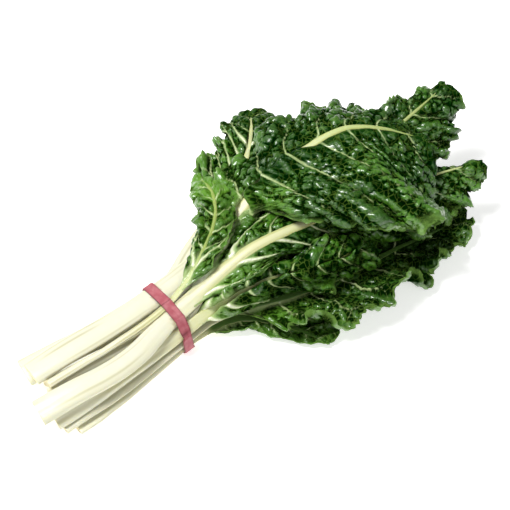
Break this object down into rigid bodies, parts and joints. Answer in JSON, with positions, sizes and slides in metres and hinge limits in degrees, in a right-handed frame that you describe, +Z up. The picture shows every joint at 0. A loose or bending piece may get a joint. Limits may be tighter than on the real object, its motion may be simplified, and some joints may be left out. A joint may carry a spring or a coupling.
{
  "type": "chard bunch",
  "caption": "Bunch of white-stalked leafy chard with dark, crinkled leaves, lying on its side and held round the stalks by a flat rubber band.",
  "frame": {"origin": "on the surface that the bunch lies on, under the middle of its bounding box", "axes": "+X along the bunch from the cut stalk ends to the leaf tips, +Z up from the surface, +Y across the bunch"},
  "size_m": [0.4266, 0.2208, 0.0904],
  "materials": {
    "stalk": "smooth, moist, cream white",
    "blade": "glossy, crinkled, dark green",
    "band": "matt, dusty pink"
  },
  "bodies": {
    "root": {"stalk_top_near": "stalk", "blade_top_near": "blade", "stalk_top_far": "stalk", "blade_top_far": "blade", "stalk_inner": "stalk", "blade_inner": "blade", "stalk_far_back": "stalk", "blade_far_back": "blade", "stalk_far_side": "stalk", "blade_far_side": "blade", "stalk_far_small": "stalk", "blade_far_small": "blade", "stalk_near_upper": "stalk", "blade_near_upper": "blade", "stalk_near_low": "stalk", "blade_near_low": "blade", "stalk_near_ground": "stalk", "blade_near_ground": "blade", "stalk_ground": "stalk", "blade_ground": "blade", "band": "band"}
  },
  "joints": []
}
